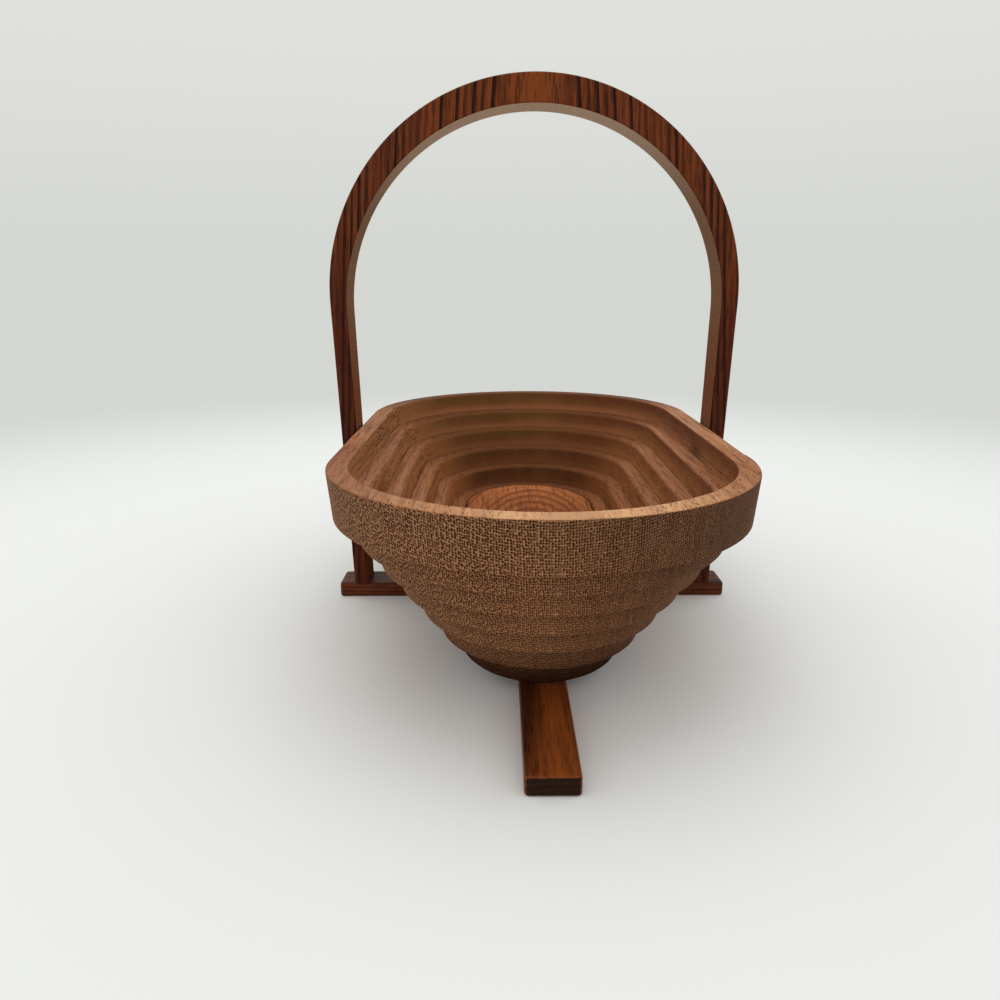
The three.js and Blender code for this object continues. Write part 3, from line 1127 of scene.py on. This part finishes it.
def board_wood(name, top_colours, far_top, line_colour, line_share):
    """Colour by face: pale sanded tops with dashes, duller walls, and ends woven from pits and threads."""
    material, tree, shader = new_material(name)
    at = board_point(tree)
    along_cut, up_cut = cut_place(tree)
    rings = use_group(tree, growth_rings, {"Place": at.place, **board_rings})
    pores = use_group(tree, open_pores, {"Place": at.place, **board_pores})
    cut = {"Along Cut": along_cut, "Up Cut": up_cut, "Spacing": board_saw_spacing}
    saw = use_group(tree, saw_marks, cut)
    lattice = {
        "Along Cut": along_cut,
        "Up Cut": hypotenuse(at.across, row_centre_above - at.up),
        "Column Spacing": column_spacing,
        "Row Spacing": row_spacing,
        "Disorder": remap(at.across, -45 * MM, 60 * MM, 0.6, 0.15),
    }
    weave = use_group(tree, woven_end_grain, lattice)
    outer_woven = at.woven * at.outward

    reddish = remap(at.fibres, 0.45, 0.66, 0.0, 0.6) * (1 - at.woven) * (1 - at.near_end * 0.6)
    ring_tint = rings["Ring Shade"] * (0.4 - at.woven * 0.3) * line_share
    ring_line = rings["Line"] * (line_share - at.woven * (0.8 * line_share))
    pore_depth = remap(at.patches, 0.35, 0.6, 0.4, 0.9) * remap(at.across, -60 * MM, -35 * MM, 0.85, 0.62)
    dark = larger(weave["Pit"] * outer_woven, pores["Pore"] * pore_depth * (1 - at.woven))
    thread = weave["Thread"] * outer_woven * (1 - weave["Pit"] * 0.8)
    streak = remap(saw["Ridge"], 0.2, 1.0) * remap(saw["Strength"], 0.35, 0.7) * at.inward * at.wall
    colour = coats(
        mix_colours(at.wall, top_colour(at, top_colours, far_top), wall_colour(at)),
        (reddish, "6e3a24"),
        (knot_share(at), "2c160d"),
        (ring_tint, "8c4c26"),
        (ring_line, line_colour),
        (outer_woven * 0.9, cloth_colour(at)),
        (dark * 0.95, mix_colours(at.wall, "54291a", "1c0b06")),
        (thread * 0.7, "c89468"),
        (streak * 0.25, "a0764c"),
        (worn_edge_share(at), "c9a07a"),
        # Painted shade just under the lip of the turn above, on the outer faces.
        (attribute(tree, "painted_step_shade") * at.outward * at.wall * 0.12, "2c170c"),
        # Painted glints on the woven ends.
        (weave["Glint"] * outer_woven, "e6d3c0"),
    )
    # Painted shade on the outside near the ground, laid on by multiplying.
    near_ground = fade(at.height, 6 * MM, 27 * MM) * at.outward
    plug(shader["Base Color"], mix_colours(near_ground, colour, "786056", blend="MULTIPLY"))
    plug(shader["Roughness"], at.patches * 0.12 + at.wall * 0.15 + 0.5)
    plug(shader["Specular IOR Level"], 0.06)
    height = saw["Ridge"] * saw["Strength"] * at.wall * 0.3 - dark + thread * 0.5
    plug(shader["Normal"], bump(height, 0.3 * MM))
    return material


board_material = board_wood("board_wood", ("c48a60", "ab7248"), "6c4326", "6e3c20", 0.22)
floor_material = board_wood("floor_wood", ("d68550", "b8703e"), "d68550", "6e3618", 0.6)
print(board_material.name, "and", floor_material.name, "ready")

# %% [markdown]
# ## Varnished wood
#
# The arch and the feet are the same kind of wood under a dark reddish varnish, each
# in its own shade. The rings run up the arch as dark lines that draw together
# towards the crown, where the varnish is thin. The inside of the arch was sawn and
# hardly sanded, so it is paler and duller there.

# %% Varnished material
varnish_pores = {"Spacing": 0.9 * MM, "Stretch": 12.0, "Fullness": 0.28}
varnish_ring_wander = 3 * MM
arch_saw_spacing = 1.1 * MM


def varnished_wood(name, pith, ring_width, taper, colours, line_colour, bare_crown=None, end_darkness=0.9):
    """Patchy reddish brown with wide dark ring lines and pore dashes under a thin coat, darkest on the ends.
    pith is how deep below the piece's middle and how far to its side the rings' centre lies."""
    material, tree, shader = new_material(name)
    place = attribute(tree, "grain_place", "Vector")
    pith_rings = {"Pith Depth": pith[0], "Pith Side": pith[1], "Ring Width": ring_width, "Taper": taper}
    rings = use_group(tree, growth_rings, {"Place": place, "Wander": varnish_ring_wander, **pith_rings})
    pores = use_group(tree, open_pores, {"Place": place, **varnish_pores})
    patches = noise(place, 40, 3, 0.6, (6, 1, 1))
    fibres = noise(place, 700, 2, 0.6, (30, 1, 1))
    dark_pores = pores["Pore"] * (rings["Line"] * 0.4 + 0.35)
    end = remap(attribute(tree, "end_grain"), 0.55, 0.95)
    layers = [(remap(fibres, 0.35, 0.75, 0.0, 0.6), line_colour), (rings["Line"], line_colour)]
    if bare_crown is not None:
        along, across, _ = split(place)
        upper = remap(along, 120 * MM, 190 * MM, 0.0, 0.5)
        thin = fade(calculate("ABSOLUTE", across), 6 * MM, 13 * MM, 0.75) * remap(along, 200 * MM, 220 * MM)
        layers = [(upper, "8c481e"), *layers, (thin, bare_crown)]
    layers += [(dark_pores, "160804"), (end * end_darkness, "120905")]
    plug(shader["Base Color"], coats(mix_colours(remap(patches, 0.28, 0.72), *colours), *layers))
    plug(shader["Roughness"], patches * 0.15 + 0.36)
    plug(shader["Normal"], bump(fibres * 0.25 - dark_pores, 0.12 * MM))
    plug(shader["Specular IOR Level"], 0.07)
    plug(shader["Coat Weight"], 0.04)
    plug(shader["Coat Roughness"], 0.3)
    return material


def sawn_inside():
    """The bare inside of the arch: pale brown crossed by saw ridges, which run from front to back."""
    material, tree, shader = new_material("sawn_inside")
    place = attribute(tree, "grain_place", "Vector")
    round_section, up_leg_cut = cut_place(tree)
    saw = use_group(
        tree, saw_marks, {"Along Cut": up_leg_cut, "Up Cut": round_section, "Spacing": arch_saw_spacing}
    )
    up_leg = split(place)[0]
    crest = saw["Ridge"] * saw["Strength"]
    colour = coats(
        mix_colours(noise(place, 60, 3, 0.6, (3, 1, 1)), "705340", "82624c"),
        (remap(up_leg, 170 * MM, 222 * MM), "b29b85"),
        (fade(up_leg, 100 * MM, 165 * MM, 0.9), "704024"),
        (crest * 0.25, "c2a488"),
    )
    plug(shader["Base Color"], colour)
    plug(shader["Normal"], bump(crest, 0.15 * MM))
    plug(shader["Roughness"], 0.8)
    plug(shader["Specular IOR Level"], 0.0)
    return material


arch_material = varnished_wood(
    "arch_varnish", (28.5 * MM, 0.0), 2.9 * MM, 0.06, ("6c2d0e", "441b09"), "2c0f07", "824018", 0.45
)
foot_pith, foot_ring_width, foot_taper = (30 * MM, 3 * MM), 2.1 * MM, 0.01
cross_material = varnished_wood(
    "cross_varnish", foot_pith, foot_ring_width, foot_taper, ("7f3f1e", "5b2f16"), "30160c"
)
foot_material = varnished_wood(
    "foot_varnish", foot_pith, foot_ring_width, foot_taper, ("944e20", "6e3618"), "46210f"
)
dowel_material = varnished_wood("dowel_wood", (10 * MM, 0.0), 1.2 * MM, 0.0, ("94603a", "7a4a2c"), "4a2814")
inside_material = sawn_inside()
print(len(bpy.data.materials), "materials")

# %% [markdown]
# The arch has two materials, one for its varnished outside and one for its bare
# inside. Which one a face gets is read from the way it points, so this comes after
# the holes are bored, when the faces have their last order.

# %% Put the materials on
facing_middle = 0.8


def looks_inwards(mesh):
    """For each face of the arch, 1 if it faces the middle of the opening and 0 if it doesn't."""
    centres, normals = np.zeros((2, len(mesh.polygons) * 3), np.float32)
    mesh.polygons.foreach_get("center", centres)
    mesh.polygons.foreach_get("normal", normals)
    centres, normals = centres.reshape(-1, 3), normals.reshape(-1, 3)
    to_middle = -centres
    to_middle[:, 2] = np.minimum(arch_height - arch_radius - centres[:, 2], 0)
    to_middle[:, 1] = 0
    to_middle /= np.linalg.norm(to_middle, axis=1, keepdims=True)
    return (np.einsum("ij,ij->i", to_middle, normals) > facing_middle).astype(np.int32)


looks = {
    **{node: [board_material] for node in board_pieces},
    "bottom_board": [floor_material],
    **{node: [dowel_material] for node in dowels},
    "handle_arch": [arch_material, inside_material],
    "cross_foot": [cross_material],
    "front_foot": [foot_material],
}
dressed = {"handle_arch": arch, "cross_foot": cross_foot, "front_foot": front_foot}
dressed.update(dowels)
dressed.update(board_pieces)
for node, piece in dressed.items():
    piece.data.materials.clear()
    for material in looks[node]:
        piece.data.materials.append(material)
inside = looks_inwards(arch.data)
arch.data.polygons.foreach_set("material_index", inside)
print(inside.sum(), "of", len(inside), "faces of the arch are bare")

# %% [markdown]
# ## Riding on the frame
#
# Each wooden piece stands for the solid of the same name and moves with its body.
# Crisp edges are marked by angle, and weighted normals keep the flat faces flat in
# the shading.

# %% Ride, replace and finish the shading
node_body = {n: b for b, members in frame["record"]["behaviour"]["bodies"].items() for n in members}
crisp_angle = math.radians(50)
for node, piece in dressed.items():
    piece.data.set_sharp_from_angle(angle=crisp_angle)
    piece.modifiers.new("flat_faces", "WEIGHTED_NORMAL").keep_sharp = True
    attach(piece, node_body[node])
    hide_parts(node)
print(len(dressed), "pieces dressed")

# %% [markdown]
# ## Floor, light and background
#
# The photograph was taken in a plain white tent: soft light from above, pale all
# round, and a floor that throws light back up. The floor fades into the backdrop's
# colour far behind the basket, so that no edge shows.

# %% Studio
horizon_colour, upper_colour, floor_colour = "d4d6d2", "e0e1dc", "f1f3f0"
side_strength, top_strength = 0.98, 0.82
floor_size = 12.0
fade_start, fade_end = 280 * MM, 850 * MM


def empty_tree(owner):
    """The node tree of a world or a material, with nothing in it."""
    owner.use_nodes = True
    owner.node_tree.nodes.clear()
    return owner.node_tree


def seen_or_mirrored(tree):
    """1 for the camera's own rays, for reflections and for what shows through glass, and 0 for the rest."""
    rays = outputs_of(tree.nodes.new("ShaderNodeLightPath"))
    return larger(larger(rays["Is Camera Ray"], rays["Is Glossy Ray"]), rays["Is Transmission Ray"])


def mix_shaders(share, first, second):
    """The first shader, turning into the second as share goes from 0 to 1."""
    return value_of(share.tree, "ShaderNodeMixShader", {0: share, 1: first, 2: second})


def studio_world():
    """A pale colour all round, lighter upwards: full where it is seen or mirrored, and less as light."""
    world = bpy.data.worlds.new("tent")
    tree = empty_tree(world)
    up = split(value_of(tree, "ShaderNodeTexCoord", output="Generated"))[2]
    tint = mix_colours(remap(up, 0.0, 0.28), horizon_colour, upper_colour)
    strength = remap(up, 0.0, 0.7, side_strength, top_strength)
    light = value_of(tree, "ShaderNodeBackground", {"Color": "ffffff", "Strength": strength})
    view = value_of(tree, "ShaderNodeBackground", {"Color": tint, "Strength": 1.0})
    add_node(tree, "ShaderNodeOutputWorld", {"Surface": mix_shaders(seen_or_mirrored(tree), light, view)})
    bpy.context.scene.world = world


def studio_floor():
    """A pale plane that turns into the backdrop's own colour as it goes away from the basket."""
    half = floor_size / 2
    corners = [(-half, -half, 0), (half, -half, 0), (half, half, 0), (-half, half, 0)]
    mesh = bpy.data.meshes.new("floor")
    mesh.from_pydata(corners, [], [(0, 1, 2, 3)])
    floor = bpy.data.objects.new("floor", mesh)
    bpy.context.scene.collection.objects.link(floor)
    material = bpy.data.materials.new("tent_floor")
    tree = empty_tree(material)
    spot = value_of(tree, "ShaderNodeTexCoord", output="Object")
    away = calculate_vector("LENGTH", spot, output="Value")
    share = remap(away, fade_start, fade_end) * seen_or_mirrored(tree)
    matt = value_of(tree, "ShaderNodeBsdfDiffuse", {"Color": floor_colour})
    view = value_of(tree, "ShaderNodeEmission", {"Color": horizon_colour, "Strength": 1.0})
    add_node(tree, "ShaderNodeOutputMaterial", {"Surface": mix_shaders(share, matt, view)})
    mesh.materials.append(material)


def soft_box(name, place, target, size, watts):
    """A square lamp that faces the target."""
    data = bpy.data.lights.new(name, "AREA")
    data.size = size
    data.energy = watts
    lamp = bpy.data.objects.new(name, data)
    lamp.location = place
    lamp.rotation_euler = (Vector(target) - Vector(place)).to_track_quat("-Z", "Y").to_euler()
    bpy.context.scene.collection.objects.link(lamp)


studio_world()
studio_floor()
soft_box("lamp_above", place=(-0.08, 0.1, 1.2), target=(0, -0.02, 0.08), size=1.0, watts=3.0)
bpy.context.scene.view_settings.view_transform = "Standard"
print("the floor fades out from", fade_start, "to", fade_end, "m away")
